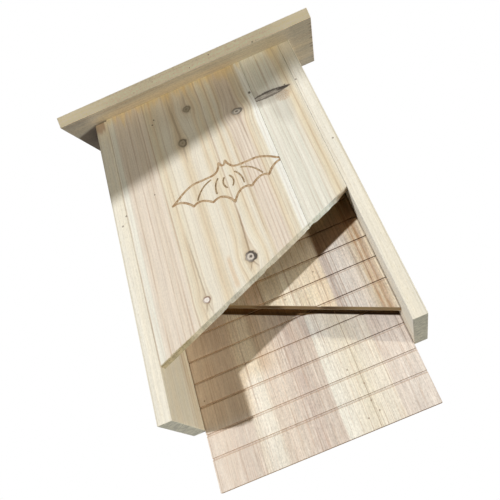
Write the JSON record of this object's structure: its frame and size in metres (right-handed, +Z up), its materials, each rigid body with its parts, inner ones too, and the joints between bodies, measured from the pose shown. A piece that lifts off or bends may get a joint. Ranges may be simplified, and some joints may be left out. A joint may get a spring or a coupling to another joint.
{
  "type": "bat box",
  "caption": "Wall-hung timber bat box: sloping overhanging roof, side boards, front cut on a slant with a routed bat, grooved partition and grooved back running down as a landing board.",
  "frame": {"origin": "on the wall plane, at the middle of the back panel's rear face, level with the lower ends of the side boards", "axes": "+Z up as the box hangs, +Y into the wall, so that the front faces -Y, and +X to the right of someone who faces the box"},
  "size_m": [0.328, 0.114, 0.4999],
  "materials": {
    "front_fir": "planed unfinished softwood, cream with pinkish and yellow grain and small knots",
    "side_fir": "planed unfinished softwood, pale cream with grey-green end grain",
    "roof_fir": "sawn unfinished softwood, beige",
    "grooved_ply": "unfinished plywood, pinkish cream with a brown layered edge",
    "zinc_nail": "zinc-plated wire nail"
  },
  "bodies": {
    "root": {"roof_board": "roof_fir", "left_side_board": "side_fir", "right_side_board": "side_fir", "front_wide_plank": "front_fir", "front_narrow_plank": "front_fir", "partition_panel": "grooved_ply", "back_panel": "grooved_ply", "left_roof_nail_1": "zinc_nail", "left_roof_nail_2": "zinc_nail", "left_roof_nail_3": "zinc_nail", "left_front_nail_1": "zinc_nail", "left_front_nail_2": "zinc_nail", "left_front_nail_3": "zinc_nail", "left_partition_nail_1": "zinc_nail", "left_partition_nail_2": "zinc_nail", "left_back_nail_1": "zinc_nail", "left_back_nail_2": "zinc_nail", "left_back_nail_3": "zinc_nail", "right_roof_nail_1": "zinc_nail", "right_roof_nail_2": "zinc_nail", "right_roof_nail_3": "zinc_nail", "right_front_nail_1": "zinc_nail", "right_front_nail_2": "zinc_nail", "right_front_nail_3": "zinc_nail", "right_partition_nail_1": "zinc_nail", "right_partition_nail_2": "zinc_nail", "right_back_nail_1": "zinc_nail", "right_back_nail_2": "zinc_nail", "right_back_nail_3": "zinc_nail"}
  },
  "joints": []
}
